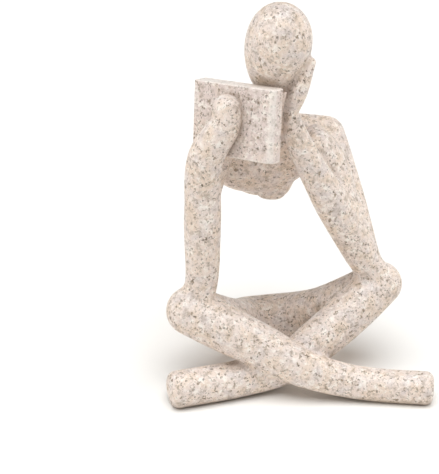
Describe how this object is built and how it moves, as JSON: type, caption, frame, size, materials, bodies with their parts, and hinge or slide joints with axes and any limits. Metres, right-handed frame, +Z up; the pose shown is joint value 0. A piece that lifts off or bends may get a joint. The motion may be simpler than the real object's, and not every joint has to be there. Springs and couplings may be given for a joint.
{
  "type": "reading thinker figurine",
  "caption": "Small sandstone-look resin figurine: a faceless figure sits cross-legged, reads a book and rests its cheek on one hand.",
  "frame": {"origin": "middle of the footprint's bounding rectangle, on the table", "axes": "+Z up; the figure faces -Y, and +X is its own left-hand side"},
  "size_m": [0.0782, 0.0578, 0.1163],
  "materials": {
    "figure": "satin",
    "book": "satin",
    "pin": "satin"
  },
  "bodies": {
    "root": {"head": "figure", "torso": "figure", "right_arm": "figure", "left_arm": "figure", "right_leg": "figure", "left_leg": "figure", "seat": "figure", "book": "book", "neck_pin": "pin", "right_shoulder_pin": "pin", "left_shoulder_pin": "pin", "right_elbow_pin": "pin", "left_elbow_pin": "pin", "right_hip_pin": "pin", "left_hip_pin": "pin", "book_pin": "pin"}
  },
  "joints": []
}
